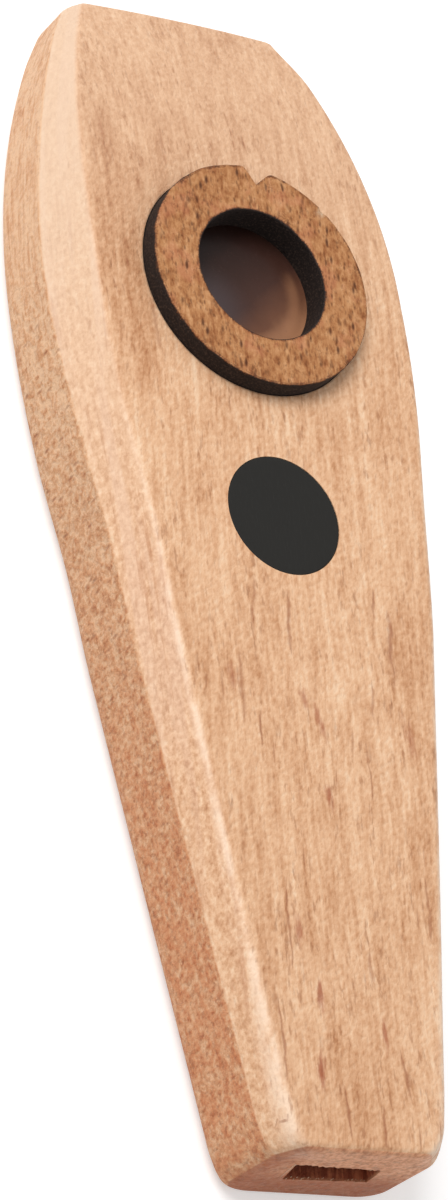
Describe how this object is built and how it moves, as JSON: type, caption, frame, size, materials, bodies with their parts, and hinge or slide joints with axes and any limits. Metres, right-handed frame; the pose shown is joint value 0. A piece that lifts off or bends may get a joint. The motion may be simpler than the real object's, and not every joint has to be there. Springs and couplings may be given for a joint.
{
  "type": "kazoo",
  "caption": "Flat wooden kazoo with a tapering bevelled body, a sloping mouth end, a raised ring that holds the membrane and a slot outlet at the narrow end.",
  "frame": {"origin": "middle of the flat back face, below the middle of the length and of the width", "axes": "+X across the body, +Y along it towards the mouth end, +Z out of the front face with the ring"},
  "size_m": [0.0434, 0.125, 0.0152],
  "materials": {
    "body_wood": "pale reddish-tan hardwood, sanded and lightly oiled",
    "ring_wood": "darker tan wood with pores, charred black on its cut walls",
    "film": "thin translucent film, smooth",
    "dot": "matt black"
  },
  "bodies": {
    "body": {"front_half": "body_wood", "back_half": "body_wood", "dot_inlay": "dot"},
    "film": {"membrane": "film"},
    "ring": {"membrane_ring": "ring_wood"}
  },
  "joints": [
    {"name": "ring_lift", "type": "slide", "parent": "body", "child": "ring", "axis": [0, 0, 1], "range_m": [0, 0.02]},
    {"name": "membrane_lift", "type": "slide", "parent": "body", "child": "film", "axis": [0, 0, 1], "range_m": [0, 0.01]}
  ],
  "couplings": [
    {"joint": "membrane_lift", "follows": "ring_lift", "ratio": 0.5}
  ]
}
